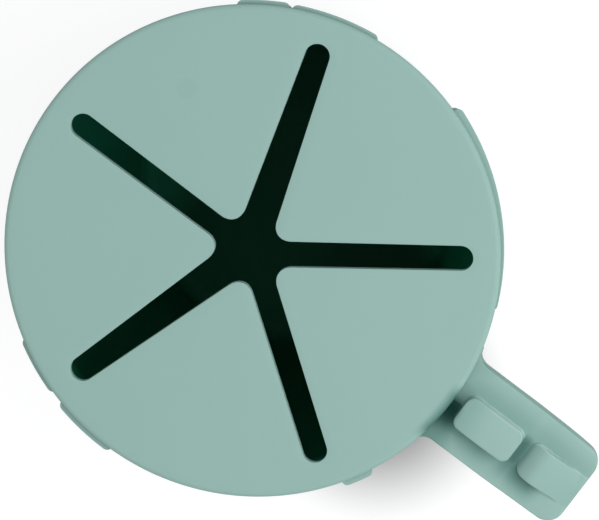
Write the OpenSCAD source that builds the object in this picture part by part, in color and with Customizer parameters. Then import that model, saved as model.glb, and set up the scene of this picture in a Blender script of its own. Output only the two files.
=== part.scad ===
// Toddler snack cup: a tapered silicone cup with a short moulded handle, and a push-in lid
// whose five soft petals part for a small hand. Millimetres. The cup stands on z = 0 with its
// axis on Z, and the handle points along +X. A petal lies over the handle, so the handle's
// plane runs midway between two slots.

/* [Cup] */
// Height of the cup without its lid
cup_h = 72; // [60:1:90]
// Radius of the foot where the wall's line meets the table
foot_r = 32; // [28:0.5:36]
// Inner radius of the mouth that the lid's plug seats in
mouth_r = 42.2; // [40:0.2:48]
// Thickness of the cup's wall
wall_t = 1.6; // [1.4:0.1:2.6]
// Thickness of the cup's floor
floor_t = 2.6; // [2:0.1:4]
// Height of the straight mouth above the tapered wall
mouth_h = 8.2; // [7.8:0.2:14]
// Radius of the rounded edge round the foot
foot_edge_r = 5; // [3.5:0.5:7]

/* [Rim] */
// How far the lip stands out from the wall
lip_out = 1.1; // [0.4:0.1:1.6]
// Height of the lip's outer face
lip_h = 1.6; // [1.2:0.1:3]
// Height of the soft pads under the rim
pad_h = 8; // [5:0.5:12]
// Radius of each pad's ends, seen from above
pad_end_r = 1.6; // [1:0.1:2.4]
// How far a pad stands off the wall at its lower edge
pad_foot = 0.8; // [0.7:0.1:1.2]
// Radius of each pad's upper edge
pad_edge_r = 0.8; // [0.5:0.1:1.2]
// Reach past the lid's edge that the pads' shares multiply
pad_reach = 0.5; // [0.2:0.05:1]

/* [Handle] */
// Reach of the handle beyond the lid's edge
handle_reach = 28.6; // [20:0.2:40]
// Width of the handle
handle_w = 17; // [12:0.2:24]
// Thickness of the handle where it leaves the cup
handle_t = 4.6; // [3.4:0.1:6]
// Thickness of the handle's nose
nose_t = 1.4; // [1.2:0.1:2.2]
// Length of the tapered underside behind the nose
nose_l = 12; // [8:0.5:16]
// Drop from the cup's rim to the top of the handle
handle_drop = 0.3; // [0:0.1:2]
// Crown of the handle's top across its width
handle_crown = 0.35; // [0.1:0.05:0.8]
// Radius of the handle's corners, seen from above
handle_corner_r = 4; // [3:0.1:6]
// How much each long side draws in before its corner
handle_taper = 0.45; // [0.1:0.05:1]
// Length over which the sides draw in
taper_l = 12; // [8:0.5:16]
// Depth of the hollow between the cup and the nearer block, on one side of the parting line
hollow_h = 1.4; // [0.4:0.1:2]
// Width of that hollow across the handle
hollow_w = 6; // [3:0.5:7]
// Radius of the handle's long edges
handle_edge_r = 1.3; // [0.8:0.1:1.6]
// Radius of the hollows where the handle flares into the cup
flare_r = 2.2; // [1:0.1:4]

/* [Grip blocks] */
// Width of the two raised blocks on the handle
block_w = 6.8; // [5:0.2:9]
// Height of the blocks above the handle
block_h = 1.9; // [1:0.1:3]
// Length of the block nearer the cup
block_l = 12.5; // [8:0.5:15]
// Gap between the lid's edge and the nearer block
block_start = 2.1; // [1.2:0.1:3]
// Gap between the two blocks
block_gap = 2; // [1:0.1:4]
// Radius of the blocks' corners, seen from above
block_corner_r = 1.4; // [0.6:0.1:1.8]
// Radius of the blocks' top edges
block_edge_r = 0.45; // [0.3:0.05:0.8]
// Length over which the outer block falls to the handle's nose
block_fall = 6; // [3:0.5:8]

/* [Lid] */
// Thickness of the lid and its petals
lid_t = 1.6; // [1.2:0.1:2.4]
// How far the lid overhangs the cup's lip
lid_over = 0.95; // [0.6:0.05:2]
// Depth of the plug that holds the lid in the mouth
plug_h = 6.6; // [5:0.2:7.4]
// Thickness of the plug's wall
plug_t = 1; // [0.9:0.1:1.8]
// Radius of the two sealing beads round the plug
bead_r = 0.5; // [0.4:0.05:0.7]

/* [Slots] */
// Width of a slot at its outer end
slot_w = 4.6; // [3:0.1:6]
// Distance from the lid's middle at which the next widths and shifts are measured
slot_hub = 7.3; // [6:0.1:9]
// Extra width there of the two slots that face the sides
side_extra = 1.6; // [0:0.1:2]
// Extra width there of the two slots beside the handle
front_extra = 0.2; // [0:0.1:1]
// Extra width there of the slot opposite the handle, which narrows
back_extra = -0.4; // [-0.8:0.1:1]
// Shift there of the side slots away from the handle
side_shift = 0.5; // [0:0.1:1]
// Shift there of the front slots towards the handle
front_shift = 0.2; // [0:0.1:1]
// Land between a slot's end and the plug
slot_land = 0.15; // [0.1:0.05:2]
// Radius of the petals' tips
tip_r = 2.8; // [1.6:0.1:4]
// Distance from the slot ends' chord in to the line where a petal bends
bend_inset = 3; // [2:0.5:6]

/* [Fits] */
// Gap between the lid's underside and the cup's rim
seat_gap = 0.1; // [0.05:0.01:0.2]
// Gap between the plug's wall and the mouth
plug_gap = 0.25; // [0.2:0.05:0.5]
// Gap between the sealing beads and the mouth
bead_gap = 0.05; // [0.02:0.01:0.1]
// Gap round a petal's rounded root
bend_gap = 0.1; // [0.05:0.01:0.15]

/* [Hidden] */
$fn = 96;
eps = 0.01;
arc_steps = 10;
edge_layers = 8;

// Each pad: where it starts and ends round the rim, from the handle, its share of pad_reach,
// and how far it is slid round the rim, in shares of pad_reach, which lowers its near end
pads = [[22, 71, 1.4, 2.2], [96, 117.2, 1.2, 0], [117.5, 130, 1.3, 0],
        [239, 251.5, 1.6, 0], [256, 271.5, 2.2, 0], [327.5, 335, 2.2, 0]];

// Each slot, from the handle round: its extra width near the middle and its shift to the left
slots = [[front_extra, -front_shift], [side_extra, side_shift], [back_extra, 0],
         [side_extra, -side_shift], [front_extra, front_shift]];

petals = 5;
half_angle = 180 / petals;
sage = [0.58, 0.71, 0.67];
sage_light = [0.63, 0.75, 0.71];

wall_r = mouth_r + wall_t;
lip_r = wall_r + lip_out;
lid_r = lip_r + lid_over;
mouth_z = cup_h - mouth_h;
seat_z = cup_h + seat_gap;
lid_z = seat_z + lid_t / 2;
edge_r = lid_t / 2;

plug_r = mouth_r - plug_gap;
plug_inner_r = plug_r - plug_t;
slot_end_r = plug_inner_r - slot_land;
bend_r = slot_end_r * cos(half_angle) - bend_inset;
slot_centre_x = slot_end_r - slot_w / 2;

handle_z = cup_h - handle_drop;
handle_tip = lid_r + handle_reach;
block_x = lid_r + block_start;
outer_block_x = block_x + block_l + block_gap;

// Points of an arc about [x, y], from angle a to angle b
function arc(x, y, r, a, b) =
    [for (i = [0 : arc_steps]) let (t = a + (b - a) * i / arc_steps) [x + r * cos(t), y + r * sin(t)]];

// Angle at which a line through [mx, my] leaves a circle of radius r about [x, y]
function tangent(x, y, r, mx, my) =
    atan2(my - y, mx - x) - acos(r / norm([mx - x, my - y]));

// A point turned about the origin
function turn(p, a) = [p.x * cos(a) - p.y * sin(a), p.x * sin(a) + p.y * cos(a)];

// Where the line through p along v meets the line through q along w
function meet(p, v, q, w) = p + v * cross(q - p, w) / cross(v, w);

// The near and far points of slot i's left (side = 1) or right (side = -1) edge, with the slot along +X
function slot_edge(i, side) = let (slot = slots[(i + petals) % petals])
    [[slot_hub, slot[1] + side * (slot_w + slot[0]) / 2], [slot_centre_x, side * slot_w / 2]];

// The same edge beside a petal along +X, moved into the petal by inset, as a point and a direction
function petal_edge(i, side, inset) =
    let (e = [for (p = slot_edge(side > 0 ? i : i - 1, -side)) turn(p, side * half_angle)],
         v = (e[1] - e[0]) / norm(e[1] - e[0]))
    [e[0] + inset * side * [v.y, -v.x], v];

// Outline of the cup's outside, as a half section
function cup_outside() =
    let (cx = foot_r - foot_edge_r, lean = tangent(cx, foot_edge_r, foot_edge_r, wall_r, mouth_z))
    concat([[0, 0]], arc(cx, foot_edge_r, foot_edge_r, -90, lean),
        [[wall_r, mouth_z], [wall_r, cup_h - lip_h - lip_out]],
        [[lip_r, cup_h - lip_h]], arc(lip_r - lip_out, cup_h - lip_out, lip_out, 0, 90), [[0, cup_h]]);

// Outline of the cup's hollow, which keeps the wall's thickness round the foot
function cup_hollow() =
    let (r = foot_edge_r - wall_t, cx = foot_r - foot_edge_r, cy = floor_t + r,
         lean = tangent(cx, cy, r, mouth_r, mouth_z), lead = wall_t / 4)
    concat([[0, floor_t]], arc(cx, cy, r, -90, lean),
        [[mouth_r, mouth_z]], arc(mouth_r + lead, cup_h - lead, lead, 180, 90),
        [[mouth_r + lead, cup_h + 1], [0, cup_h + 1]]);

module cup_outer() {
    rotate_extrude() polygon(cup_outside());
}

module cup_body() {
    color(sage)
    difference() {
        cup_outer();
        rotate_extrude() polygon(cup_hollow());
    }
}

// A rounded rectangle with its left side at x = 0, centred on y = 0
module round_rect(l, w, r) {
    translate([r, -w / 2]) square([l - 2 * r, w]);
    translate([0, r - w / 2]) square([l, w - 2 * r]);
    for (x = [r, l - r], y = [r - w / 2, w / 2 - r]) translate([x, y]) circle(r);
}

// Seen from above, a pad is a sector of the rim with its two outer corners rounded
module pad_plan(from, to, r) {
    swing = asin(pad_end_r / (r - pad_end_r));
    ends = [from + swing, to - swing];
    intersection() {
        circle(r);
        polygon([[0, 0], for (a = [ends[0], (from + to) / 2, ends[1]]) 2 * r * [cos(a), sin(a)]]);
    }
    for (a = ends) rotate(a) translate([r - pad_end_r, 0]) circle(pad_end_r);
}

// A pad leans in towards the wall from its rounded upper edge down to its rounded foot
module rim_pad(from, to, share, slide) {
    r = lid_r + share * pad_reach;
    low = cup_h - pad_h;
    foot_x = wall_r + pad_foot / 2;
    across = (from + to) / 2 + 90;
    translate(slide * pad_reach * [cos(across), sin(across)])
    intersection() {
        rotate_extrude() polygon(concat([[mouth_r, low]],
            arc(foot_x, low + pad_foot / 2, pad_foot / 2, -90, 0),
            arc(r - pad_edge_r, cup_h - pad_edge_r, pad_edge_r, 0, 90), [[mouth_r, cup_h]]));
        translate([0, 0, low - 1]) linear_extrude(pad_h + 2) pad_plan(from, to, r);
    }
}

module rim_pads() {
    color(sage)
    difference() {
        for (p = pads) rim_pad(p[0], p[1], p[2], p[3]);
        cup_outer();
    }
}

// Side view of the handle, with its top at y = 0
module handle_side() {
    r = nose_t / 2;
    heel = handle_tip - r - nose_l;
    polygon(concat([[mouth_r, handle_crown], [handle_tip - r, handle_crown]],
        [[handle_tip - r, 0]], arc(handle_tip - r, -r, r, 90, -90),
        [[heel, -handle_t], [mouth_r, -handle_t]]));
}

// Cross section of the handle, crowned on top
module handle_section() {
    crown_r = (pow(handle_w / 2, 2) + pow(handle_crown, 2)) / (2 * handle_crown);
    intersection() {
        translate([0, -handle_t]) rotate(90) round_rect(handle_t, handle_w, handle_edge_r);
        translate([0, -crown_r]) circle(crown_r, $fn = 360);
    }
}

// The handle from above: its sides draw in a little and run into rounded corners
module handle_plan() {
    r = handle_corner_r;
    half = handle_w / 2;
    lean = atan(handle_taper / taper_l);
    polygon(concat([[mouth_r, -half], [handle_tip - r - taper_l, -half]],
        arc(handle_tip - r, r + handle_taper - half, r, lean - 90, 0),
        arc(handle_tip - r, half - handle_taper - r, r, 0, 90 - lean),
        [[handle_tip - r - taper_l, half], [mouth_r, half]]));
}

// The hollow beside the parting line, as a wedge that runs out towards the handle's side
module handle_hollow() {
    translate([mouth_r, 0, handle_z]) rotate([90, 0, 90]) linear_extrude(block_x - mouth_r)
        polygon([[0, -hollow_h], [0, 1], [-hollow_w, 1], [-hollow_w, 0]]);
}

// The wedge of material that rounds off the corner between the handle's side and the cup
module flare(side) {
    x = sqrt(pow(wall_r + flare_r, 2) - pow(handle_w / 2 + flare_r, 2));
    y = side * (handle_w / 2 + flare_r);
    translate([0, 0, handle_z - handle_t + handle_edge_r])
    linear_extrude(handle_t - 2 * handle_edge_r)
    difference() {
        polygon([[x, y], [mouth_r * cos(20), side * handle_w / 4], [x, side * handle_w / 4]]);
        translate([x, y]) circle(flare_r);
    }
}

module handle() {
    color(sage_light)
    difference() {
        union() {
            intersection() {
                translate([0, handle_w, handle_z]) rotate([90, 0, 0])
                    linear_extrude(2 * handle_w) handle_side();
                translate([0, 0, handle_z]) rotate([90, 0, 90])
                    linear_extrude(handle_tip + 1) handle_section();
                translate([0, 0, handle_z - handle_t - 1]) linear_extrude(handle_t + 2) handle_plan();
            }
            flare(1);
            flare(-1);
        }
        cup_outer();
        handle_hollow();
    }
}

// End view of a grip block, sunk below the handle's crown so that it can be trimmed to it
module block_end() {
    sink = handle_t / 2;
    translate([0, -sink]) rotate(90) round_rect(block_h + sink, block_w, block_edge_r);
}

module inner_grip_block() {
    color(sage)
    difference() {
        intersection() {
            translate([block_x, 0, handle_z - 1]) linear_extrude(block_h + 1)
                round_rect(block_l, block_w, block_corner_r);
            translate([block_x, 0, handle_z]) rotate([90, 0, 90]) linear_extrude(block_l) block_end();
        }
        handle();
    }
}

// Side view of the outer block: it rounds up from the gap and falls to the nose
module outer_block_side() {
    l = handle_tip - outer_block_x;
    foot = -nose_t / 2;
    fall_r = (pow(block_fall, 2) + pow(block_h, 2)) / (2 * block_h);
    sweep = asin(block_fall / fall_r);
    polygon(concat([[0, foot]], arc(block_h, 0, block_h, 180, 90),
        arc(l - block_fall, block_h - fall_r, fall_r, 90, 90 - sweep), [[l, foot]]));
}

module outer_grip_block() {
    l = handle_tip - outer_block_x;
    color(sage)
    difference() {
        intersection() {
            translate([outer_block_x, 0, handle_z - 1]) linear_extrude(block_h + 1)
                round_rect(l, block_w, block_corner_r);
            translate([outer_block_x, 0, handle_z]) rotate([90, 0, 90]) linear_extrude(l) block_end();
            translate([outer_block_x, handle_w / 2, handle_z]) rotate([90, 0, 0])
                linear_extrude(handle_w) outer_block_side();
        }
        handle();
    }
}

// The cut of one slot, along +X, with a round end
module slot_cut(i) {
    left = slot_edge(i, 1);
    right = slot_edge(i, -1);
    translate([0, 0, seat_z - 1]) linear_extrude(lid_t + 2) {
        polygon([left[0], left[1], right[1], right[0]]);
        translate([slot_centre_x, 0]) circle(slot_w / 2);
    }
}

// The five-sided opening that the petals fill, from under the lid up to height h
module petal_opening(r, h) {
    translate([0, 0, seat_z - 1]) rotate(half_angle)
        cylinder(h = h, r = r / cos(half_angle), $fn = petals);
}

// A petal's root turns in a hollow, and the ring's lower lip is cut back so that it can swing down
module lid_ring() {
    bend_l = 2 * bend_r * tan(half_angle);
    color(sage)
    difference() {
        translate([0, 0, lid_z]) rotate_extrude() {
            translate([0, -edge_r]) square([lid_r - edge_r, lid_t]);
            translate([lid_r - edge_r, 0]) circle(edge_r);
        }
        petal_opening(bend_r, lid_t + 2);
        petal_opening(bend_r + edge_r, 1 + lid_t / 4);
        for (i = [0 : petals - 1]) rotate(2 * half_angle * i) {
            rotate(half_angle) slot_cut(i);
            translate([bend_r, -bend_l / 2, lid_z]) rotate([-90, 0, 0])
                cylinder(h = bend_l, r = edge_r + bend_gap);
        }
    }
}

// The plug under the lid, with two sealing beads and a thinned lower edge
module lid_plug() {
    low = seat_z - plug_h;
    bead_x = mouth_r - bead_gap - bead_r;
    color(sage)
    rotate_extrude() {
        polygon([[plug_inner_r, seat_z], [plug_inner_r, low + plug_t / 2], [plug_r - plug_t / 2, low],
            [plug_r - plug_t / 4, low], [plug_r, low + plug_t / 2], [plug_r, seat_z]]);
        for (z = [low + plug_h / 3, low + 2 * plug_h / 3]) translate([bead_x, z]) circle(bead_r);
    }
}

// Petal i along +X, seen from above and drawn in by inset
module petal_plan(i, inset) {
    tip = meet(petal_edge(i, -1, tip_r)[0], petal_edge(i, -1, tip_r)[1],
               petal_edge(i, 1, tip_r)[0], petal_edge(i, 1, tip_r)[1]);
    root = [bend_r + edge_r - inset, 0];
    right = petal_edge(i, -1, inset);
    left = petal_edge(i, 1, inset);
    polygon([meet(right[0], right[1], root, [0, 1]), meet(left[0], left[1], root, [0, 1]), tip]);
    translate(tip) circle(tip_r - inset, $fn = 36);
}

// The petal's edges are fully rounded, in layers from its underside to its top
module petal_shape(i) {
    hull() for (a = [-90 : 180 / edge_layers : 90])
        translate([0, 0, edge_r * sin(a) - eps / 2])
            linear_extrude(eps) petal_plan(i, edge_r * (1 - cos(a)));
}

module petal(i) {
    color(sage) rotate(2 * half_angle * i) translate([0, 0, lid_z]) petal_shape(i);
}

cup_body();
rim_pads();
handle();
inner_grip_block();
outer_grip_block();
lid_ring();
lid_plug();
petal(0);  // petal_front
petal(1);  // petal_left_front
petal(2);  // petal_left_back
petal(3);  // petal_right_back
petal(4);  // petal_right_front
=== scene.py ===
import math

import bmesh
import bpy
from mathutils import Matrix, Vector


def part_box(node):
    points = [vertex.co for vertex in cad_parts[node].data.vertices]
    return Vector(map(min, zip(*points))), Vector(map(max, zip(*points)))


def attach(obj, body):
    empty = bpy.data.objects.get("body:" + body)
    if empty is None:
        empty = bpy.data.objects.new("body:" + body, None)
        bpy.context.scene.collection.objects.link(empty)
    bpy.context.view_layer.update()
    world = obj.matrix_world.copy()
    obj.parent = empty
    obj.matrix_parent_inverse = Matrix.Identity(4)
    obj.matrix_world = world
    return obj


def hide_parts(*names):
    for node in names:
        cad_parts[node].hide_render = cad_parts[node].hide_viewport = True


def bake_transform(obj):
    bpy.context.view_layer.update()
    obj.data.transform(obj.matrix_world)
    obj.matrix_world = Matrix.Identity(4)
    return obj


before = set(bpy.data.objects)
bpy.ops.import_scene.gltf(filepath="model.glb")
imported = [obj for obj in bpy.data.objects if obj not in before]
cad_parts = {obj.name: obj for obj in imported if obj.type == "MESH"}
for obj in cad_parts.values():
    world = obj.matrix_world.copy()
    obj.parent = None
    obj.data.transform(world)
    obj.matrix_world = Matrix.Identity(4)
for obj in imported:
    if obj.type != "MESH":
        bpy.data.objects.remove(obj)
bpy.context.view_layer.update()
mm = 0.001
onPlane = 1e-5        # a corner this near a plane, in metres, counts as on it
samePoint = 2e-6      # corners nearer than this are merged

# the lid's and the handle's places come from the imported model
ringLow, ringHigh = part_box("lid_ring")
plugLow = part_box("lid_plug")[0]
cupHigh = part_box("cup_body")[1]
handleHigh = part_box("handle")[1]
lidRadius = ringHigh.x
lidThick = ringHigh.z - ringLow.z
lidMid = (ringLow.z + ringHigh.z) / 2
print("frame loaded, lid", round(2000 * lidRadius, 1), "mm across")


def startPiece(name, add, **size):
    # one primitive, alone and selected, in edit mode
    if bpy.context.object and bpy.context.object.mode == "EDIT":
        bpy.ops.object.mode_set(mode="OBJECT")
    bpy.ops.object.select_all(action="DESELECT")
    add(**size)
    piece = bpy.context.object
    piece.name = name
    piece.data.name = name
    bpy.ops.object.transform_apply(location=True, rotation=True, scale=True)
    bpy.ops.object.mode_set(mode="EDIT")
    return piece


def pick(piece, kind, test):
    # selects the corners, edges or faces that pass a test of their place
    bpy.ops.mesh.select_mode(type=kind)
    bpy.ops.mesh.select_all(action="DESELECT")
    mesh = bmesh.from_edit_mesh(piece.data)
    parts = {"VERT": mesh.verts, "EDGE": mesh.edges, "FACE": mesh.faces}[kind]
    count = 0
    for part in parts:
        if test(part):
            part.select_set(True)
            count += 1
    mesh.select_flush_mode()
    bmesh.update_edit_mesh(piece.data)
    return count


def middle(edge):
    return (edge.verts[0].co + edge.verts[1].co) / 2


def upright(edge):
    run = edge.verts[1].co - edge.verts[0].co
    return abs(run.z) > 0.9 * run.length


def pushOut(run, about, grow):
    # extrudes what is selected by run, then scales it about a point
    bpy.ops.mesh.extrude_region_move(TRANSFORM_OT_translate={"value": run})
    bpy.ops.transform.resize(value=grow, center_override=about)


def donePiece(piece, angle=40):
    # merges doubles, turns the faces outwards and smooths the shading, with broad faces kept flat
    bpy.ops.mesh.select_all(action="SELECT")
    bpy.ops.mesh.remove_doubles(threshold=samePoint)
    bpy.ops.mesh.normals_make_consistent(inside=False)
    bpy.ops.object.mode_set(mode="OBJECT")
    alone(piece)
    bpy.ops.object.shade_smooth_by_angle(angle=math.radians(angle))
    addModifier(piece, "WEIGHTED_NORMAL", mode="FACE_AREA", weight=50, keep_sharp=True)


def alone(piece):
    bpy.ops.object.select_all(action="DESELECT")
    piece.select_set(True)
    bpy.context.view_layer.objects.active = piece


def addModifier(piece, kind, **settings):
    # a modifier that is applied at once
    alone(piece)
    modifier = piece.modifiers.new(kind.title(), kind)
    for key, value in settings.items():
        setattr(modifier, key, value)
    bpy.ops.object.modifier_apply(modifier=modifier.name)


def joinPieces(keep, others):
    bpy.ops.object.select_all(action="DESELECT")
    for piece in others:
        piece.select_set(True)
    keep.select_set(True)
    bpy.context.view_layer.objects.active = keep
    bpy.ops.object.join()


def turned(piece, angle):
    # turns a piece about the cup's axis, in its mesh
    alone(piece)
    bpy.ops.object.mode_set(mode="EDIT")
    bpy.ops.mesh.select_all(action="SELECT")
    bpy.ops.transform.rotate(value=-angle, orient_axis="Z", center_override=(0, 0, 0))
    bpy.ops.object.mode_set(mode="OBJECT")


def scored(piece, point, normal):
    # draws a line of edges across a piece where a plane cuts it
    bpy.ops.mesh.select_all(action="SELECT")
    bpy.ops.mesh.bisect(plane_co=point, plane_no=normal)


def arc(x, y, r, start, end, steps):
    points = []
    for i in range(steps + 1):
        t = math.radians(start + (end - start) * i / steps)
        points.append((x + r * math.cos(t), y + r * math.sin(t)))
    return points


def lathe(name, outline, steps):
    # a ring pushed along an outline of radius and height, its ends left open
    r, z = outline[0]
    piece = startPiece(name, bpy.ops.mesh.primitive_circle_add, vertices=steps, radius=r,
                       location=(0, 0, z), fill_type="NOTHING")
    bpy.ops.mesh.select_mode(type="EDGE")
    bpy.ops.mesh.select_all(action="SELECT")
    for nextR, nextZ in outline[1:]:
        grow = nextR / r
        pushOut((0, 0, nextZ - z), (0, 0, nextZ), (grow, grow, 1))
        r, z = nextR, nextZ
    return piece


def closeEnds(piece):
    # fills the open rings at both ends of a lathed outline
    bpy.ops.mesh.select_mode(type="EDGE")
    bpy.ops.mesh.select_all(action="DESELECT")
    bpy.ops.mesh.select_non_manifold()
    bpy.ops.mesh.edge_face_add()


class Wire:
    # a node's output that can be used in sums
    def __init__(self, shop, socket):
        self.shop = shop
        self.socket = socket

    def __add__(self, other):
        return self.shop.math("ADD", self, other)

    def __radd__(self, other):
        return self.shop.math("ADD", other, self)

    def __sub__(self, other):
        return self.shop.math("SUBTRACT", self, other)

    def __rsub__(self, other):
        return self.shop.math("SUBTRACT", other, self)

    def __mul__(self, other):
        return self.shop.math("MULTIPLY", self, other)

    def __rmul__(self, other):
        return self.shop.math("MULTIPLY", other, self)

    def __truediv__(self, other):
        return self.shop.math("DIVIDE", self, other)

    def __abs__(self):
        return self.shop.math("ABSOLUTE", self)

    def __pow__(self, other):
        return self.shop.math("POWER", self, other)


class Shop:
    # the nodes of one material or of the world
    def __init__(self, owner):
        self.owner = owner
        owner.use_nodes = True
        self.tree = owner.node_tree
        self.tree.nodes.clear()

    def math(self, operation, a, b=None):
        return self.add("Math", {"operation": operation}, [a] if b is None else [a, b])

    def add(self, kind, settings=None, sockets=None, out=0):
        node = self.tree.nodes.new("ShaderNode" + kind)
        for key, value in (settings or {}).items():
            if key == "stops":
                for i, (place, colour) in enumerate(value):
                    stops = node.color_ramp.elements
                    stop = stops[i] if i < len(stops) else stops.new(place)
                    stop.position = place
                    stop.color = colour
            else:
                setattr(node, key, value)
        pairs = enumerate(sockets) if isinstance(sockets, (list, tuple)) else (sockets or {}).items()
        for key, value in pairs:
            socket = node.inputs[key]
            if isinstance(value, Wire):
                self.tree.links.new(value.socket, socket)
            else:
                socket.default_value = value
        return None if out is None else Wire(self, node.outputs[out])

    def mix(self, factor, a, b, blend="MIX"):
        return self.add("Mix", {"data_type": "RGBA", "blend_type": blend}, {0: factor, 6: a, 7: b}, out=2)

    def split(self, vector):
        node = self.add("SeparateXYZ", {}, [vector]).socket.node
        return [Wire(self, node.outputs[axis]) for axis in "XYZ"]

    def ramp(self, value, low, high):
        # 0 below low, 1 above high, smooth between
        return self.add("MapRange", {"interpolation_type": "SMOOTHSTEP"},
                        {"Value": value, "From Min": low, "From Max": high})

    def finish(self, shader, kind="Material"):
        self.add("Output" + kind, {}, {"Surface": shader}, out=None)
        return self.owner


sage = (0.292, 0.462, 0.422, 1)
siliconeLook = {
    "cloudSize": 38,          # soft unevenness of the tone, per metre
    "cloudStrength": 0.03,
    "grainSize": 2600,        # the mould's fine matte grain, per metre
    "grainDepth": 0.000012,
    "waveSize": 160,          # slow waviness of soft mouldings
    "waveDepth": 0.00006,
    "roughness": 0.62,
    "roughnessSpread": 0.12,
    "shine": 0.25,
    "redFall": 1.4,           # light thrown back by silicone is greener, so red falls faster in the shade
    "blueFall": 1.06,
}


def silicone(name, colour, bumps=None, marksAndPaintedShade=None, deep=None, look=siliconeLook):
    # bumps adds heights in metres, the tone function multiplies the tone by marks, painted shade and painted light,
    # and deep mixes in a painted shade colour
    shop = Shop(bpy.data.materials.new(name))
    place = shop.add("TexCoord", out="Object")
    cloud = shop.add("TexNoise", {}, {"Vector": place, "Scale": look["cloudSize"], "Detail": 3})
    grain = shop.add("TexNoise", {}, {"Vector": place, "Scale": look["grainSize"], "Detail": 2})
    wave = shop.add("TexNoise", {}, {"Vector": place, "Scale": look["waveSize"], "Detail": 1})
    tone = 1 + (cloud - 0.5) * look["cloudStrength"]
    height = grain * look["grainDepth"] + wave * look["waveDepth"]
    x, y, z = shop.split(place)
    if marksAndPaintedShade:
        tone = tone * marksAndPaintedShade(shop, x, y, z)
    if bumps:
        height = height + bumps(shop, x, y, z)
    red, blue = tone ** look["redFall"], tone ** look["blueFall"]
    shade = shop.add("CombineColor", {}, {"Red": red, "Green": tone, "Blue": blue})
    base = shop.mix(1.0, colour, shade, "MULTIPLY")
    # deep mixes in a painted shade colour where the light doesn't reach
    if deep:
        share, paintedShadeColour = deep(shop, x, y, z)
        base = shop.mix(share, base, paintedShadeColour)
    bump = shop.add("Bump", {}, {"Height": height, "Distance": 1.0, "Strength": 1.0})
    rough = look["roughness"] + (grain - 0.5) * look["roughnessSpread"]
    shader = shop.add("BsdfPrincipled", {}, {
        "Base Color": base, "Roughness": rough, "Normal": bump,
        "IOR": 1.41, "Specular IOR Level": look["shine"],
    })
    return shop.finish(shader)


cup = {
    "height": cupHigh.z,
    "lipRadius": cupHigh.x,
    "lipOut": 1.1 * mm,
    "lipHigh": 1.6 * mm,
    "wall": 1.6 * mm,
    "floor": 2.6 * mm,
    "footRadius": 32 * mm,
    "footEdge": 5 * mm,
    "mouthHigh": 8.2 * mm,
    "rimEdge": 0.6 * mm,
    "innerEdge": 0.4 * mm,
    "shoulder": (0.3 * mm, 1.5 * mm),   # how the straight mouth's outside meets the tapered wall
    "steps": 160,
}


def leaving(x, y, r, toX, toY):
    # angle at which a straight wall leaves a rounded foot
    far = math.hypot(toX - x, toY - y)
    return math.degrees(math.atan2(toY - y, toX - x) - math.acos(r / far))


def makeCup():
    wallR = cup["lipRadius"] - cup["lipOut"]
    mouthR = wallR - cup["wall"]
    mouthZ = cup["height"] - cup["mouthHigh"]
    footX = cup["footRadius"] - cup["footEdge"]
    outside = arc(footX, cup["footEdge"], cup["footEdge"], -90,
                  leaving(footX, cup["footEdge"], cup["footEdge"], wallR, mouthZ), 14)
    lipZ = cup["height"] - cup["lipHigh"]
    inward, below = cup["shoulder"]
    outside += [(wallR - inward, mouthZ - below), (wallR, mouthZ), (wallR, lipZ - cup["lipOut"])]
    outside += [(wallR + cup["lipOut"] * 0.9, lipZ - cup["lipOut"] * 0.1), (cup["lipRadius"], lipZ)]
    outside += arc(cup["lipRadius"] - cup["rimEdge"], cup["height"] - cup["rimEdge"], cup["rimEdge"], 0, 90, 8)
    inner = cup["footEdge"] - cup["wall"]
    innerZ = cup["floor"] + inner
    edge = cup["innerEdge"]
    inside = arc(mouthR + edge, cup["height"] - edge, edge, 90, 180, 5)
    inside += [(mouthR, mouthZ)]
    inside += arc(footX, innerZ, inner, leaving(footX, innerZ, inner, mouthR, mouthZ), -90, 12)
    piece = lathe("cupShell", outside + inside, cup["steps"])
    closeEnds(piece)
    donePiece(piece, 35)
    return piece


cupShell = makeCup()
print("cup shell", len(cupShell.data.polygons), "faces")

pads = {
    # start and end round the rim from the handle, reach past the lid, slide round the rim
    "places": [(22, 71, 0.66, 1.1), (96, 117.2, 0.56, 0), (117.5, 130, 0.65, 0),
               (238.5, 253, 0.72, 0), (255.5, 271.5, 1.0, 0), (327.5, 335, 1.1, 0)],
    "high": 8 * mm,
    "top": cup["height"] - 0.05 * mm,   # just under the rim, so that the two tops don't coincide
    "foot": 0.8 * mm,
    "edge": 0.9 * mm,
    "corner": 2.4 * mm,
    "tuck": 0.6 * mm,                   # how far a pad reaches into the wall
    "near": 0.2 * mm,
    "stepAngle": 1.5,
    "sharp": 60,                        # the end corners are sharper than this, in degrees
}


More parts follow.
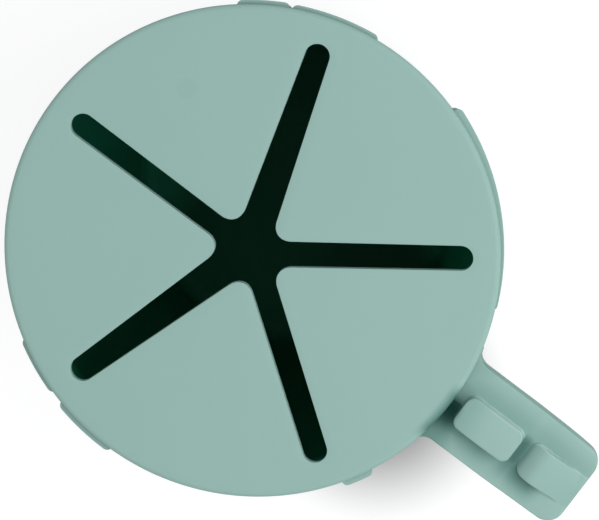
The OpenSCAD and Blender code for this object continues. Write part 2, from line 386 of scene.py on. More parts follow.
def makePad(index, start, end, reach, slide):
    # a small upright plate, spun round the rim and softened at its edges
    low = pads["top"] - pads["high"]
    inner = cup["lipRadius"] - cup["lipOut"] - pads["tuck"]
    outer = lidRadius + reach * mm
    footOut = cup["lipRadius"] - cup["lipOut"] + pads["foot"]
    piece = startPiece("rimPad" + str(index), bpy.ops.mesh.primitive_plane_add, size=1,
                       location=(0, 0, 0), rotation=(math.pi / 2, 0, 0))
    bpy.ops.transform.resize(value=(outer - inner, 1, pads["high"]), center_override=(0, 0, 0))
    bpy.ops.transform.translate(value=((outer + inner) / 2, 0, low + pads["high"] / 2))
    pick(piece, "VERT", lambda v: v.co.x > inner + pads["near"] and v.co.z < low + pads["near"])
    bpy.ops.transform.translate(value=(footOut - outer, 0, 0))
    bpy.ops.mesh.select_all(action="SELECT")
    bpy.ops.transform.rotate(value=-math.radians(start), orient_axis="Z", center_override=(0, 0, 0))
    steps = max(6, int((end - start) / pads["stepAngle"]))
    bpy.ops.mesh.spin(steps=steps, angle=math.radians(end - start), center=(0, 0, 0), axis=(0, 0, -1))
    bpy.ops.mesh.select_all(action="DESELECT")
    bpy.ops.mesh.select_non_manifold()
    bpy.ops.mesh.edge_face_add()
    across = math.radians((start + end) / 2 + 90)
    bpy.ops.mesh.select_all(action="SELECT")
    bpy.ops.mesh.remove_doubles(threshold=onPlane)
    bpy.ops.mesh.normals_make_consistent(inside=False)

    def endCorner(edge):
        # the two steep outer edges at the pad's ends
        spot = middle(edge)
        run = edge.verts[1].co - edge.verts[0].co
        steep = abs(run.z) > 0.6 * run.length and spot.xy.length > inner + pads["tuck"] - 0.1 * mm
        return steep and len(edge.link_faces) == 2 and edge.calc_face_angle(0) > math.radians(pads["sharp"])

    pick(piece, "EDGE", endCorner)
    bpy.ops.mesh.bevel(offset=pads["corner"], segments=8, affect="EDGES", clamp_overlap=True)
    bpy.ops.object.mode_set(mode="OBJECT")
    addModifier(piece, "BEVEL", width=pads["edge"], segments=6, limit_method="ANGLE",
                angle_limit=math.radians(35), use_clamp_overlap=True)
    bpy.ops.object.mode_set(mode="EDIT")
    bpy.ops.mesh.select_all(action="SELECT")
    bpy.ops.transform.translate(value=(slide * mm * math.cos(across), slide * mm * math.sin(across), 0))
    donePiece(piece, 50)
    return piece


padPieces = [makePad(i + 1, *place) for i, place in enumerate(pads["places"])]
rimPads = padPieces[0]
joinPieces(rimPads, padPieces[1:])
rimPads.name = "rimPads"
print("rim pads", len(rimPads.data.polygons), "faces")

handle = {
    "tip": handleHigh.x,
    "top": 70.9 * mm,
    "root": 42.0 * mm,
    "width": 17.1 * mm,
    "thick": 3.8 * mm,
    "nose": 1.4 * mm,
    "noseLong": 12 * mm,
    "crown": 0.35 * mm,       # how far the top falls towards the sides
    "corner": 3.5 * mm,
    "taper": 0.25 * mm,
    "taperLong": 12 * mm,
    "topEdge": 0.25 * mm,
    "lowEdge": 0.6 * mm,
    "flare": 2.2 * mm,
    "flareEnd": cup["lipRadius"] + 2.4 * mm,   # the root has flared out fully flareLong before this
    "flareLong": 2.7 * mm,
    "flareSteps": 8,
    "stations": 16,
    "topCuts": 29,            # the top's strips across, so that it can be crowned
    "voxel": 0.16 * mm,
}
block = {
    "width": 6.8 * mm,
    "top": ringHigh.z - 0.03 * mm,
    "long": 12.5 * mm,
    "start": 2.1 * mm,
    "gap": 1.8 * mm,
    "corner": 1.7 * mm,
    "aside": -0.12 * mm,
    "outerWider": 0.2 * mm,   # the outer block is wider than the inner one, on its right
    "edge": 0.3 * mm,
    "fall": 11 * mm,          # the outer block sinks into the tip over this length
    "rise": 4.2 * mm,         # and rounds up from the gap over this one
    "sunk": 2.0 * mm,
    "crown": 0.2 * mm,        # the blocks' tops fall this far towards their sides
    "ends": 0.25 * mm,        # and this far towards the inner block's ends
    "cutsLong": 40,
    "cutsWide": 12,
}
hollow = {
    # between the lid and the inner block: depth at the root, how far it runs out and where it ends
    "left": (0.7 * mm, 4.0 * mm, 50.5 * mm),
    "right": (2.1 * mm, 6.5 * mm, 52 * mm),
    "shallow": 0.3 * mm,      # its depth at the outer edge and at its end
    "over": 0.1 * mm,
}


def handleSection(x):
    # half width, top and underside at a place along the handle
    half = handle["width"] / 2
    tip = handle["tip"]
    high = handle["top"]
    low = high - handle["thick"]
    cornerX = tip - handle["corner"]
    taper = handle["taper"] * min(1, max(0, (x - cornerX) / handle["taperLong"] + 1))
    wide = half - taper
    if x > cornerX:
        wide -= handle["corner"] - math.sqrt(max(0, handle["corner"] ** 2 - (x - cornerX) ** 2))
    if x < handle["flareEnd"]:
        t = (handle["flareEnd"] - x) / handle["flareLong"]
        wide = half + handle["flare"] * (1 - math.sqrt(max(0, 1 - min(1, t) ** 2)))
    heel = tip - handle["nose"] / 2 - handle["noseLong"]
    if x > heel:
        low += (handle["thick"] - handle["nose"]) * ((x - heel) / (tip - heel)) ** 3
    endX = tip - handle["nose"] / 2
    if x > endX:
        t = (x - endX) / (handle["nose"] / 2)
        roundOff = (handle["nose"] / 2) * (1 - math.sqrt(max(0, 1 - t * t)))
        high -= roundOff
        low += roundOff
    return wide, high, low


def makeHandle():
    # an end section, extruded station by station along the handle
    tip, root, top = handle["tip"], handle["root"], handle["top"]
    cornerX = tip - handle["corner"]
    flareEnd, flareLong = handle["flareEnd"], handle["flareLong"]
    steps, stations = handle["flareSteps"], handle["stations"]
    xs = [flareEnd - flareLong + flareLong * i / steps for i in range(steps + 1)]
    xs += [flareEnd + (cornerX - flareEnd) * i / stations for i in range(1, stations + 1)]
    xs += [cornerX + handle["corner"] * math.sin(math.radians(a)) for a in range(8, 89, 8)]
    xs += [tip]
    piece = startPiece("handle", bpy.ops.mesh.primitive_plane_add, size=1, location=(0, 0, 0),
                       rotation=(0, math.pi / 2, 0))
    wide, high, low = handleSection(root)
    bpy.ops.transform.resize(value=(1, 2 * wide, high - low), center_override=(0, 0, 0))
    bpy.ops.transform.translate(value=(root, 0, (high + low) / 2))
    pick(piece, "VERT", lambda v: v.co.z > top - onPlane)
    bpy.ops.mesh.bevel(offset=handle["topEdge"], segments=5, affect="VERTICES")
    pick(piece, "VERT", lambda v: v.co.z < low + onPlane)
    bpy.ops.mesh.bevel(offset=handle["lowEdge"], segments=7, affect="VERTICES")
    pick(piece, "EDGE", lambda e: abs(middle(e).z - top) < onPlane)
    bpy.ops.mesh.subdivide(number_cuts=handle["topCuts"])
    mesh = bmesh.from_edit_mesh(piece.data)
    for corner in mesh.verts:
        y = abs(corner.co.y)
        if corner.co.z > (high + low) / 2:
            corner.co.z -= handle["crown"] * (y / wide) ** 2
    bmesh.update_edit_mesh(piece.data)
    bpy.ops.mesh.select_mode(type="FACE")
    bpy.ops.mesh.select_all(action="SELECT")
    x = root
    for nextX in xs:
        nextWide, nextHigh, nextLow = handleSection(nextX)
        grow = (1, nextWide / wide, (nextHigh - nextLow) / (high - low))
        lift = (nextHigh + nextLow) / 2 - (high + low) / 2
        pushOut((nextX - x, 0, lift), (nextX, 0, (nextHigh + nextLow) / 2), grow)
        x, wide, high, low = nextX, nextWide, nextHigh, nextLow
    bpy.ops.mesh.select_all(action="SELECT")
    bpy.ops.mesh.normals_make_consistent(inside=False)
    bpy.ops.object.mode_set(mode="OBJECT")
    for side, key in ((1, "left"), (-1, "right")):
        wedge = makeWedge(side, *hollow[key])
        addModifier(piece, "BOOLEAN", operation="DIFFERENCE", object=wedge, solver="EXACT")
        bpy.data.objects.remove(wedge)
    return piece


def makeWedge(side, depth, reach, end):
    # what the hollow takes out of the handle on one side of the parting line, less and less towards its end
    over = hollow["over"]
    long = end - handle["root"] + over
    piece = startPiece("hollowWedge", bpy.ops.mesh.primitive_cube_add, size=1)
    bpy.ops.transform.resize(value=(long, reach, 1), center_override=(0, 0, 0))
    bpy.ops.transform.translate(value=(handle["root"] - over + long / 2, side * reach / 2, 0))
    mesh = bmesh.from_edit_mesh(piece.data)
    for corner in mesh.verts:
        inner = abs(corner.co.y) < reach / 2
        low = handle["top"] - (depth if inner else hollow["shallow"])
        if corner.co.x > end - onPlane:
            low = handle["top"] - (hollow["shallow"] if inner else -over)
        corner.co.z = handle["top"] + 1 * mm if corner.co.z > 0 else low
    bmesh.update_edit_mesh(piece.data)
    bpy.ops.object.mode_set(mode="OBJECT")
    return piece


def makeBlock(name, start, end, low, width, aside):
    # a bar with rounded corners, scored along and across so that its top can be crowned
    piece = startPiece(name, bpy.ops.mesh.primitive_cube_add, size=1)
    bpy.ops.transform.resize(value=(end - start, width, block["top"] - low), center_override=(0, 0, 0))
    bpy.ops.transform.translate(value=((start + end) / 2, aside, (block["top"] + low) / 2))
    pick(piece, "EDGE", upright)
    bpy.ops.mesh.bevel(offset=block["corner"], segments=8, affect="EDGES")
    for i in range(1, block["cutsLong"]):
        scored(piece, (start + (end - start) * i / block["cutsLong"], 0, 0), (1, 0, 0))
    for i in range(1, block["cutsWide"]):
        scored(piece, (0, width * (i / block["cutsWide"] - 0.5) + aside, 0), (0, 1, 0))
    return piece


def softenBlock(piece):
    bpy.ops.object.mode_set(mode="OBJECT")
    addModifier(piece, "BEVEL", width=block["edge"], segments=5, limit_method="ANGLE",
                angle_limit=math.radians(50))


def makeInnerBlock():
    start = lidRadius + block["start"]
    end = start + block["long"]
    width, aside = block["width"], block["aside"]
    piece = makeBlock("innerBlock", start, end, handle["top"] - block["sunk"], width, aside)
    mesh = bmesh.from_edit_mesh(piece.data)
    for corner in mesh.verts:
        if corner.co.z > block["top"] - onPlane:
            along = (2 * corner.co.x - start - end) / (end - start)
            across = 2 * (corner.co.y - aside) / width
            corner.co.z -= block["crown"] * across ** 2 + block["ends"] * abs(along) ** 2.5
    bmesh.update_edit_mesh(piece.data)
    softenBlock(piece)
    return piece


def makeOuterBlock():
    start = lidRadius + block["start"] + block["long"] + block["gap"]
    tip = handle["tip"] - 0.2 * mm
    high = block["top"] - handle["top"]
    width = block["width"] + block["outerWider"]
    aside = block["aside"] - block["outerWider"] / 2
    piece = makeBlock("outerBlock", start, tip, handle["top"] - handle["nose"] * 0.7, width, aside)
    mesh = bmesh.from_edit_mesh(piece.data)
    for corner in mesh.verts:
        if corner.co.z > block["top"] - onPlane:
            near = max(0, 1 - (corner.co.x - start) / block["rise"])
            past = max(0, 1 - (tip - corner.co.x) / block["fall"])
            across = 2 * (corner.co.y - aside) / width
            sunk = near ** 1.6 + past ** 2 * (3 - 2 * past)
            corner.co.z -= high * sunk + block["crown"] * across ** 2
    bmesh.update_edit_mesh(piece.data)
    softenBlock(piece)
    return piece


handleTab = makeHandle()
joinPieces(handleTab, [makeInnerBlock(), makeOuterBlock()])
addModifier(handleTab, "REMESH", mode="VOXEL", voxel_size=handle["voxel"], adaptivity=0)
addModifier(handleTab, "SMOOTH", factor=0.5, iterations=4)
alone(handleTab)
bpy.ops.object.shade_smooth()
handleTab.name = "handleTab"
print("handle", len(handleTab.data.polygons), "faces")

lid = {
    "petals": 5,
    "slotWidth": 4.6 * mm,    # at a slot's round end
    "slotEnd": 40.8 * mm,     # where the round end stops
    "hub": 7.3 * mm,
    # what each slot gains in width at the hub and how far it leans left there, in mm, from the first petal's left
    "slots": [(0.2, -0.2), (1.6, 0.5), (-0.4, 0), (1.6, -0.5), (0.2, 0.2)],
    "tip": 2.8 * mm,          # radius of the petals' tips
    "edge": 0.78 * mm,
    "rimSoft": [(2.4, 0), (1.7, 0.012), (1.15, 0.04)],   # how the top dips towards the rim, in mm
    "edgeRound": 1.15 * mm,   # how far in the rim's upper rounding starts
    "trim": 0.02 * mm,        # keeps the rim inside the solid's
    "centre": 2 * mm,         # the disc's own hole, inside the hub
    "overlap": 1.0 * mm,      # the slots run past the middle by this much
    "tipsWithin": 7 * mm,
    "bendLine": 30.008 * mm,  # the petals' roots bend about this line
    "bendReach": 2.2 * mm,    # how far the bend spreads to each side of it
    "bendCuts": 14,
    "steps": 240,
}
sector = 2 * math.pi / lid["petals"]


def makeSlotCutter(extra, lean):
    # a bar that widens towards the hub, with a round end
    inner = -lid["overlap"]
    endX = lid["slotEnd"] - lid["slotWidth"] / 2
    grown = (endX - inner) / (endX - lid["hub"])
    piece = startPiece("slotCutter", bpy.ops.mesh.primitive_cube_add, size=1)
    length = lid["slotEnd"] - inner
    bpy.ops.transform.resize(value=(length, lid["slotWidth"], 4 * lidThick), center_override=(0, 0, 0))
    bpy.ops.transform.translate(value=(inner + length / 2, 0, lidMid))
    scored(piece, (endX, 0, 0), (1, 0, 0))
    pick(piece, "EDGE", lambda e: upright(e) and middle(e).x > lid["slotEnd"] - onPlane)
    bpy.ops.mesh.bevel(offset=lid["slotWidth"] / 2 - 2e-6, segments=12, affect="EDGES")
    mesh = bmesh.from_edit_mesh(piece.data)
    for corner in mesh.verts:
        if corner.co.x < inner + onPlane:
            side = 1 if corner.co.y > 0 else -1
            corner.co.y += (side * extra / 2 + lean) * mm * grown
    bmesh.update_edit_mesh(piece.data)
    bpy.ops.object.mode_set(mode="OBJECT")
    return piece


def mergeFlat(piece):
    # makes one face of what lies in one plane
    alone(piece)
    bpy.ops.object.mode_set(mode="EDIT")
    bpy.ops.mesh.select_all(action="SELECT")
    bpy.ops.mesh.remove_doubles(threshold=samePoint)
    bpy.ops.mesh.dissolve_limited(angle_limit=math.radians(0.3))


def makeStar():
    # the slots as one cutter, rounded in its inner corners, which shape the petals' tips
    bars = []
    for i, (extra, lean) in enumerate(lid["slots"]):
        bars.append(makeSlotCutter(extra, lean))
        turned(bars[i], sector * (i + 0.5))
    star = bars[0]
    for bar in bars[1:]:
        addModifier(star, "BOOLEAN", operation="UNION", object=bar, solver="EXACT")
        bpy.data.objects.remove(bar)
    mergeFlat(star)
    found = pick(star, "EDGE", lambda e: upright(e) and middle(e).xy.length < lid["tipsWithin"])
    print("petal tips", found)
    bpy.ops.mesh.bevel(offset=lid["tip"] / math.tan(sector / 2), segments=14, affect="EDGES")
    bpy.ops.object.mode_set(mode="OBJECT")
    return star


def makeLid():
    low, high = ringLow.z, ringHigh.z
    edge = (high - low) / 2
    rim, soft = lidRadius - lid["trim"], lid["edgeRound"]
    outline = [(lid["centre"], low)] + arc(rim - edge, lidMid, edge, -90, 0, 8)
    softTop = [(rim - r * mm, high - drop * mm) for r, drop in reversed(lid["rimSoft"])]
    drop = softTop[0][1] - lidMid
    for turn in range(10, 90, 10):
        a = math.radians(turn)
        outline.append((rim - soft + soft * math.cos(a), lidMid + drop * math.sin(a)))
    outline += softTop + [(lid["centre"], high)]
    disc = lathe("lidDisc", outline, lid["steps"])
    closeEnds(disc)
    bpy.ops.mesh.select_all(action="SELECT")
    bpy.ops.mesh.normals_make_consistent(inside=False)
    bpy.ops.object.mode_set(mode="OBJECT")
    star = makeStar()
    addModifier(disc, "BOOLEAN", operation="DIFFERENCE", object=star, solver="EXACT")
    bpy.data.objects.remove(star)
    mergeFlat(disc)
    bpy.ops.object.mode_set(mode="OBJECT")
    addModifier(disc, "BEVEL", width=lid["edge"], segments=8, limit_method="ANGLE",
                angle_limit=math.radians(40), loop_slide=False)
    return disc


def onPetal(i, distance):
    # a point on a petal's middle line
    return (distance * math.cos(sector * i), distance * math.sin(sector * i), lidMid)


def isPetal(i, place):
    # whether a place in the lid belongs to petal i
    angle = (math.atan2(place.y, place.x) - sector * i + math.pi) % (2 * math.pi) - math.pi
    along = Vector(onPetal(i, 1)).xy.dot(place.xy)
    return abs(angle) < sector / 2 and along < lid["bendLine"] + lid["bendReach"]


def splitPetals(disc):
    # the disc is scored across each petal's root, and each petal is then taken out of it and closed
    alone(disc)
    bpy.ops.object.mode_set(mode="EDIT")
    root = lid["bendLine"] + lid["bendReach"]
    for i in range(lid["petals"]):
        scored(disc, onPetal(i, root), onPetal(i, 1)[:2] + (0,))
    bpy.ops.object.mode_set(mode="OBJECT")
    parts = []
    for i in range(lid["petals"]):
        alone(disc)
        bpy.ops.object.mode_set(mode="EDIT")
        pick(disc, "FACE", lambda f: isPetal(i, f.calc_center_median()))
        bpy.ops.mesh.separate(type="SELECTED")
        bpy.ops.object.mode_set(mode="OBJECT")
        petal = [p for p in bpy.context.selected_objects if p != disc][0]
        petal.name = petal.data.name = "petal" + petalNames[i]
        alone(petal)
        bpy.ops.object.mode_set(mode="EDIT")
        closeHoles()
        for j in range(1, lid["bendCuts"]):
            place = onPetal(i, root - 2 * lid["bendReach"] * j / lid["bendCuts"])
            scored(petal, place, onPetal(i, 1)[:2] + (0,))
        donePiece(petal, 35)
        parts.append(petal)
    alone(disc)
    bpy.ops.object.mode_set(mode="EDIT")
    closeHoles()
    donePiece(disc, 35)
    disc.name = disc.data.name = "lidRing"
    return parts


def closeHoles():
    bpy.ops.mesh.select_mode(type="VERT")
    bpy.ops.mesh.select_all(action="SELECT")
    bpy.ops.mesh.fill_holes(sides=0)


petalNames = ["Front", "LeftFront", "LeftBack", "RightBack", "RightFront"]
petalBodies = ["petal_front", "petal_left_front", "petal_left_back", "petal_right_back", "petal_right_front"]
lidRing = makeLid()
petals = splitPetals(lidRing)
print("lid ring", len(lidRing.data.polygons), "faces, petal", len(petals[0].data.polygons), "faces")

plug = {
    "outer": 41.95 * mm,
    "thick": 1.0 * mm,
    "deep": 6.6 * mm,
    "bead": 0.5 * mm,
    "beadOut": 42.15 * mm,
}


def makePlug():
    top = ringLow.z + 0.2 * mm
    low = plugLow.z
    inner = plug["outer"] - plug["thick"]
    outline = [(inner, top), (inner, low + 0.8 * mm), (inner + 0.15 * mm, low + 0.25 * mm)]
    outline += [(inner + 0.45 * mm, low), (plug["outer"] - 0.3 * mm, low)]
    outline += [(plug["outer"] - 0.08 * mm, low + 0.3 * mm), (plug["outer"], low + 0.7 * mm)]
    for share in (1 / 3, 2 / 3):
        z = low + plug["deep"] * share
        x = plug["beadOut"] - plug["bead"]
        reach = math.degrees(math.acos((plug["outer"] - x) / plug["bead"]))
        outline += arc(x, z, plug["bead"], -reach, reach, 8)
    outline += [(plug["outer"], top)]
    piece = lathe("lidPlug", outline, 160)
    bpy.ops.mesh.select_mode(type="EDGE")
    bpy.ops.mesh.select_all(action="DESELECT")
    bpy.ops.mesh.select_non_manifold()
    bpy.ops.mesh.bridge_edge_loops()
    donePiece(piece, 45)
    return piece


lidPlug = makePlug()
print("lid plug", len(lidPlug.data.polygons), "faces")

gate = {"x": -27.5 * mm, "y": 17.3 * mm, "radius": 2.0 * mm, "tone": 0.025}
slotEdge = {"reach": 1.7 * mm, "fall": 0.085 * mm, "widen": (0.6 * mm, 1.15 * mm)}
# painted shade inside the cup and under the lid, and two lighter painted patches of light on the cup's inner wall
inside = {
    "colour": (0.006, 0.11, 0.056, 1),
    "underLid": (0.001, 0.12, 0.06, 1),
    "back": (0.012, 0.22, 0.125, 1),
    "left": (0.02, 0.42, 0.24, 1),
    "from": 70.5 * mm,        # the painted shade starts at this height and is full at the next
    "to": 63 * mm,
    "backX": (12 * mm, 20 * mm),
    "leftX": (22 * mm, 31 * mm),
    "leftY": (2 * mm, 10 * mm),
}
# painted shade on the lid's rim beside the handle, darkest at the edge
rimShade = {
    "from": 43.6 * mm,
    "to": 46.4 * mm,
    "left": (0.8 * mm, 4.2 * mm),
    "right": (6 * mm, 9.5 * mm),
    "along": (0, 20 * mm),
    "dark": 0.72,
}


def slotDistance(shop, x, y):
    # how far a place on the lid lies from the nearest slot's edge
    turn = shop.math("ARCTAN2", y, x) / sector - 0.5
    slot = shop.math("ROUND", turn)
    angle = (turn - slot) * sector
    far = (x * x + y * y) ** 0.5
    along = far * shop.math("COSINE", angle)
    across = far * shop.math("SINE", angle)
    past = shop.math("MAXIMUM", along - (lid["slotEnd"] - lid["slotWidth"] / 2), 0)
    toHub = shop.add("MapRange", {}, {"Value": along, "From Min": lid["slotEnd"], "From Max": lid["hub"]})
    # the side slots open wider towards the hub than the others
    extra = slotEdge["widen"][0] - shop.math("COSINE", (slot + 0.5) * (2 * sector)) * slotEdge["widen"][1]
    return (across * across + past * past) ** 0.5 - lid["slotWidth"] / 2 - toHub * extra * 0.5


def lidBumps(shop, x, y, z):
    # the top sinks a little towards the slots
    near = shop.math("MAXIMUM", 1 - slotDistance(shop, x, y) / slotEdge["reach"], 0)
    return near * near * -slotEdge["fall"]


def lidGateMarkAndPaintedShade(shop, x, y, z):
    # the faint round mark where the mould was filled, and painted shade on the rim beside the handle, where a
    # finger gets under it
    gx, gy = x - gate["x"], y - gate["y"]
    spot = 1 - shop.ramp((gx * gx + gy * gy) ** 0.5, gate["radius"] * 0.85, gate["radius"] * 1.1)
    far = (x * x + y * y) ** 0.5
    beside = (1 - shop.ramp(y, *rimShade["left"])) * (1 - shop.ramp(-1 * y, *rimShade["right"]))
    shade = shop.ramp(far, rimShade["from"], rimShade["to"]) * beside * shop.ramp(x, *rimShade["along"])
    return (1 - spot * gate["tone"]) * (1 - shade * rimShade["dark"])


# painted shade round the blocks: how much light each painted shade keeps from the band, how much painted light is
# added, and from where to where each fades, in mm
blockShade = {
    "edge": (-0.05, 0.25),
    "sides": (-2, 2),
    "outerFrom": 2.0,
    "outerTo": 80,
    "right": 0.40,
    "rightFar": 5.2,
    "rightEnd": -0.18,
    "rightEndX": (54.5, 58.5),
    "gapSide": 0.34,
    "gapSideX": (58.5, 61.5),
    "tip": (66.0, 69.5),
    "left": 0.18,
    "leftFar": (0.8, 5.5),
    "gap": 0.60,
    "gapX": (60.25, 60.6, 61.4, 63.65),
    "gapY": (1.6, 4.8, 2.0, 5.6),
    "lid": 0.86,
    "lidX": (46.8, 52.5),
    "lidLeft": (-1.6, 2.2),
    "lidLeftShare": 0.9,
    "lidRight": (1.9, 7.5),
    "lidRightShare": 0.55,
    "top": 0.17,
    "topX": (47.5, 55.0),
    "outerTop": 0.05,
    "outerTopX": (62.5, 66),
    # painted light towards the tip and on the blocks' left walls
    "tipLight": 0.07,
    "tipLightX": (62, 74),
    "tipLightY": (0, 5),
    "wall": 0.34,
    "wallOut": (0.04, 0.2),
    "wallIn": (-0.16, -0.06),
    "wallY": (2.4, 3.2),
    "wallEnd": 0.7,
    "wallEndX": (64, 70),
}
# painted shade at the deepest spot between the lid and the inner block
lidGapPaintedShade = {
    "x": 46.6,
    "y": -1.7,
    "long": 2.6,
    "wide": 4.2,
    "share": 0.75,
    "colour": (0.0, 0.07, 0.05, 1),
}


def handlePaintedShadeAndLight(shop, x, y, z):
    # painted shade beside the blocks, in the gap between them and under the lid's edge, and painted light near the
    # tip and on the blocks' left walls, in mm
    x, y = x / mm, (y - block["aside"]) / mm
    corner = block["corner"] / mm
    long, wide = block["long"] / mm, block["width"] / mm
    start = (lidRadius + block["start"]) / mm
    fade = blockShade

    def away(low, high):
        alongX = shop.math("MAXIMUM", abs(x - (low + high) / 2) - (high - low) / 2 + corner, 0)
        alongY = shop.math("MAXIMUM", abs(y) - wide / 2 + corner, 0)
        return (alongX * alongX + alongY * alongY) ** 0.5 - corner

    near = shop.math("MINIMUM", away(start, start + long), away(start + long + fade["outerFrom"], fade["outerTo"]))
    beyond = shop.ramp(near, *fade["edge"])
    right = shop.ramp(-1 * y, *fade["sides"])
    onRight = fade["right"] + fade["rightEnd"] * shop.ramp(x, *fade["rightEndX"])
    onRight = onRight + fade["gapSide"] * shop.ramp(x, *fade["gapSideX"])
    onRight = onRight * (1 - shop.ramp(x, *fade["tip"])) * (1 - shop.ramp(near, 0, fade["rightFar"]))
    onLeft = fade["left"] * (1 - shop.ramp(near, *fade["leftFar"]))
    side = onRight * right + onLeft * (1 - right)
    g, h = fade["gapX"], fade["gapY"]
    between = shop.ramp(x, g[0], g[1]) * (1 - shop.ramp(x, g[2], g[3]))
    between = between * (1 - shop.ramp(y, h[0], h[1])) * (1 - shop.ramp(-1 * y, h[2], h[3])) * fade["gap"]
    byLid = (1 - shop.ramp(x, *fade["lidX"])) * (1 - fade["lidLeftShare"] * shop.ramp(y, *fade["lidLeft"]))
    byLid = byLid * (1 - fade["lidRightShare"] * shop.ramp(-1 * y, *fade["lidRight"])) * fade["lid"]
    shade = shop.math("MAXIMUM", shop.math("MAXIMUM", side, byLid) * beyond, between)
    # painted shade on the inner block's top towards its inner end, and on the outer block's top
    top = (1 - shop.ramp(x, *fade["topX"])) * fade["top"]
    top = (1 - beyond) * (top + shop.ramp(x, *fade["outerTopX"]) * fade["outerTop"])
    # painted light on the band's left towards the tip
    light = shop.ramp(x, *fade["tipLightX"]) * shop.ramp(y, *fade["tipLightY"]) * fade["tipLight"]
    # painted light: the blocks' left walls are painted lighter, like the band beside them
    wall = shop.ramp(near, *fade["wallIn"]) * (1 - shop.ramp(near, *fade["wallOut"])) * shop.ramp(y, *fade["wallY"])
    wall = wall * (1 - fade["wallEnd"] * shop.ramp(x, *fade["wallEndX"])) * fade["wall"]
    return (1 - shade) * (1 - top) * (1 + light) * (1 + wall)


def handleGapPaintedShade(shop, x, y, z):
    # painted shade: the deepest spot, where a finger gets under the lid, is mixed towards a dark green
    x, y = (x / mm - lidGapPaintedShade["x"]) / lidGapPaintedShade["long"], (y / mm - lidGapPaintedShade["y"]) / lidGapPaintedShade["wide"]
    return (1 - shop.ramp((x * x + y * y) ** 0.5, 0, 1)) * lidGapPaintedShade["share"], lidGapPaintedShade["colour"]


def lidUndersidePaintedShade(shop, x, y, z):
    # painted shade on the underside within the plug, and on the plug's inside
    low = 1 - shop.ramp(z, ringLow.z - 0.2 * mm, ringLow.z + 0.15 * mm)
    plugMid = plug["outer"] - plug["thick"] / 2
    within = 1 - shop.ramp((x * x + y * y) ** 0.5, plugMid - 0.2 * mm, plugMid + 0.2 * mm)
    return low * within, inside["underLid"]


def cupInsidePaintedShade(shop, x, y, z):
    # painted shade on the wall's inner side, darker further down
    far = (x * x + y * y) ** 0.5
    lean = (cup["lipRadius"] - cup["lipOut"] - cup["footRadius"]) / (cup["height"] - cup["mouthHigh"])
    outer = shop.math("MINIMUM", cup["footRadius"] + z * lean, cup["lipRadius"] - cup["lipOut"])
    wallMid = outer - cup["wall"] * 0.75
    inner = 1 - shop.ramp(far - wallMid, -0.3 * mm, 0.3 * mm)
    low = 1 - shop.ramp(z, inside["to"], inside["from"])
    above = shop.ramp(z, cup["floor"] - 0.4 * mm, cup["floor"] - 0.05 * mm)
    # painted light: two sides of the wall are painted lighter, where more of the light that comes in by the slots
    # would fall
    colour = shop.mix(shop.ramp(-1 * x, *inside["backX"]), inside["colour"], inside["back"])
    onLeft = shop.ramp(x, *inside["leftX"]) * shop.ramp(y, *inside["leftY"])
    colour = shop.mix(onLeft, colour, inside["left"])
    return inner * low * above, colour


# these finishes paint shade and light into the silicone's colour; only the lid's gate mark is the thing's own
lidFinish = silicone("lidSilicone", sage, bumps=lidBumps, marksAndPaintedShade=lidGateMarkAndPaintedShade, deep=lidUndersidePaintedShade)
cupFinish = silicone("cupSilicone", sage, deep=cupInsidePaintedShade)
handleFinish = silicone("handleSilicone", sage, marksAndPaintedShade=handlePaintedShadeAndLight, deep=handleGapPaintedShade)

for piece, finish in [(cupShell, cupFinish), (rimPads, cupFinish), (handleTab, handleFinish),
                      (lidRing, lidFinish), (lidPlug, lidFinish)] + [(p, lidFinish) for p in petals]:
    piece.data.materials.clear()
    piece.data.materials.append(finish)
print("finishes on")

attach(cupShell, "cup")
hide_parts("cup_body")
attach(rimPads, "cup")
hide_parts("rim_pads")
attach(handleTab, "cup")
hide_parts("handle", "inner_grip_block", "outer_grip_block")
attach(lidRing, "lid")
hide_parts("lid_ring")
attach(lidPlug, "lid")
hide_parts("lid_plug")
for i, (petal, body) in enumerate(zip(petals, petalBodies)):
    along = Vector((math.cos(sector * i), math.sin(sector * i), 0))
    start = along * (lid["bendLine"] + lid["bendReach"])
    end = along * (lid["bendLine"] - lid["bendReach"])
    start.z = end.z = lidMid
    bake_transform(petal)
    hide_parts(body)

room = {
    "floorSize": 6.0,
    "floorGlow": 0.65,        # how much of the paper's white doesn't depend on the light
    "floorBounce": 0.5,       # what the paper throws back at the cup
    "floorWhite": 1.16,
    "floorTone": 0.93,
    "fleckSize": 60,
    "fleckStrength": 0.01,
    # a painted shadow on the paper beside the cup's foot
    "footShade": {"x": 36 * mm, "y": -24 * mm, "from": 5 * mm, "to": 28.5 * mm, "dark": 0.76},
    "skyTop": 0.70,
    "skySide": 0.52,
    # azimuth and lean from upright in degrees, distance, size and power of each softbox
    "lights": [("sideSoftbox", 30, 44, 0.55, 0.5, 1.45), ("topSoftbox", 104, 15, 1.8, 0.5, 2.0)],
}


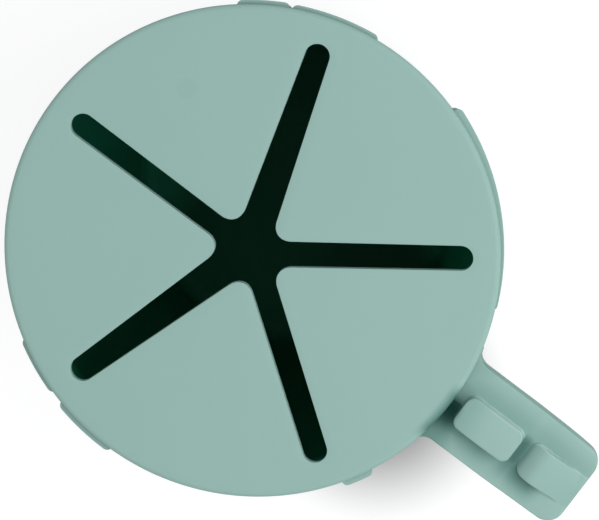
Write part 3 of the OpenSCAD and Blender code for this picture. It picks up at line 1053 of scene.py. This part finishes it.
def makeFloor():
    # a broad flat sheet of studio paper
    piece = startPiece("floorPaper", bpy.ops.mesh.primitive_grid_add, x_subdivisions=12, y_subdivisions=12,
                       size=room["floorSize"])
    donePiece(piece)
    shop = Shop(bpy.data.materials.new("paper"))
    place = shop.add("TexCoord", out="Object")
    fleck = shop.add("TexNoise", {}, {"Vector": place, "Scale": room["fleckSize"], "Detail": 2})
    # painted shadow on the paper beside the foot, under the handle
    paintedShadow = room["footShade"]
    x, y = shop.split(place)[:2]
    x, y = x - paintedShadow["x"], y - paintedShadow["y"]
    light = 1 - paintedShadow["dark"] * (1 - shop.ramp((x * x + y * y) ** 0.5, paintedShadow["from"], paintedShadow["to"]))
    tone = (room["floorTone"] + (fleck - 0.5) * room["fleckStrength"]) * light
    grey = shop.add("CombineColor", {}, {"Red": tone, "Green": tone, "Blue": tone})
    paper = shop.add("BsdfPrincipled", {}, {"Base Color": grey, "Roughness": 0.9, "Specular IOR Level": 0.1})
    dim = shop.add("BsdfPrincipled", {}, {"Base Color": (room["floorBounce"],) * 3 + (1,), "Roughness": 0.9,
                                          "Specular IOR Level": 0.1})
    # the paper's glow carries the painted shadow too
    white = shop.add("CombineColor", {}, {"Red": light, "Green": light, "Blue": light})
    glow = shop.add("Emission", {}, {"Color": white, "Strength": room["floorWhite"]})
    seen = shop.add("LightPath", out="Is Camera Ray")
    bright = shop.add("MixShader", {}, [room["floorGlow"], paper, glow])
    piece.data.materials.append(shop.finish(shop.add("MixShader", {}, [seen, dim, bright])))


makeFloor()


def makeSky():
    # a soft dome, brighter overhead, and white where the camera sees it
    world = bpy.data.worlds.new("studio")
    bpy.context.scene.world = world
    shop = Shop(world)
    up = shop.split(shop.add("TexCoord", out="Generated"))[2]
    level = room["skySide"] + shop.ramp(up, 0, 1) * (room["skyTop"] - room["skySide"])
    sky = shop.add("Background", {}, {"Color": (1, 1, 1, 1), "Strength": level})
    white = shop.add("Background", {}, {"Color": (1, 1, 1, 1), "Strength": 1.0})
    shop.finish(shop.add("MixShader", {}, [shop.add("LightPath", out="Is Camera Ray"), sky, white]), "World")


makeSky()


def makeLight(name, azimuth, lean, distance, size, power):
    data = bpy.data.lights.new(name, "AREA")
    data.energy = power
    data.size = size
    light = bpy.data.objects.new(name, data)
    bpy.context.scene.collection.objects.link(light)
    a, b = math.radians(azimuth), math.radians(lean)
    flat = distance * math.sin(b)
    light.location = (flat * math.cos(a), flat * math.sin(a), distance * math.cos(b))
    light.rotation_euler = (-light.location).to_track_quat("-Z", "Y").to_euler()


for settings in room["lights"]:
    makeLight(*settings)

view = {
    "distance": 1.5,          # the camera stands well back
    "tilt": 12.55,            # degrees off the cup's axis
    "azimuth": 93.01,
    "roll": -146.02,
    "scale": 5.4638,          # pixels to a millimetre at the lid
    "width": 599,
    "sensor": 36,
    "lidTop": 72.9 * mm,
    "shiftRight": 8.716 * mm,
    "shiftUp": -1.530 * mm,
}


def makeCamera():
    tilt, azimuth, roll = (math.radians(view[key]) for key in ("tilt", "azimuth", "roll"))
    out = Vector((math.sin(tilt) * math.cos(azimuth), math.sin(tilt) * math.sin(azimuth), math.cos(tilt)))
    up0 = (Vector((0, 0, 1)) - out * out.z).normalized()
    right0 = up0.cross(out)
    right = math.cos(roll) * right0 + math.sin(roll) * up0
    up = -math.sin(roll) * right0 + math.cos(roll) * up0
    data = bpy.data.cameras.new("camera")
    data.sensor_fit = "HORIZONTAL"
    data.sensor_width = view["sensor"]
    data.lens = view["sensor"] * view["distance"] * view["scale"] / mm / view["width"]
    data.clip_start = 0.05
    data.clip_end = 20
    camera = bpy.data.objects.new("camera", data)
    bpy.context.scene.collection.objects.link(camera)
    place = Vector((0, 0, view["lidTop"])) + out * view["distance"]
    place += right * view["shiftRight"] + up * view["shiftUp"]
    for row in range(3):
        for column, axis in enumerate((right, up, out, place)):
            camera.matrix_world[row][column] = axis[row]
    bpy.context.scene.camera = camera


makeCamera()
bpy.context.scene.view_settings.view_transform = "Standard"
print("camera and light set")
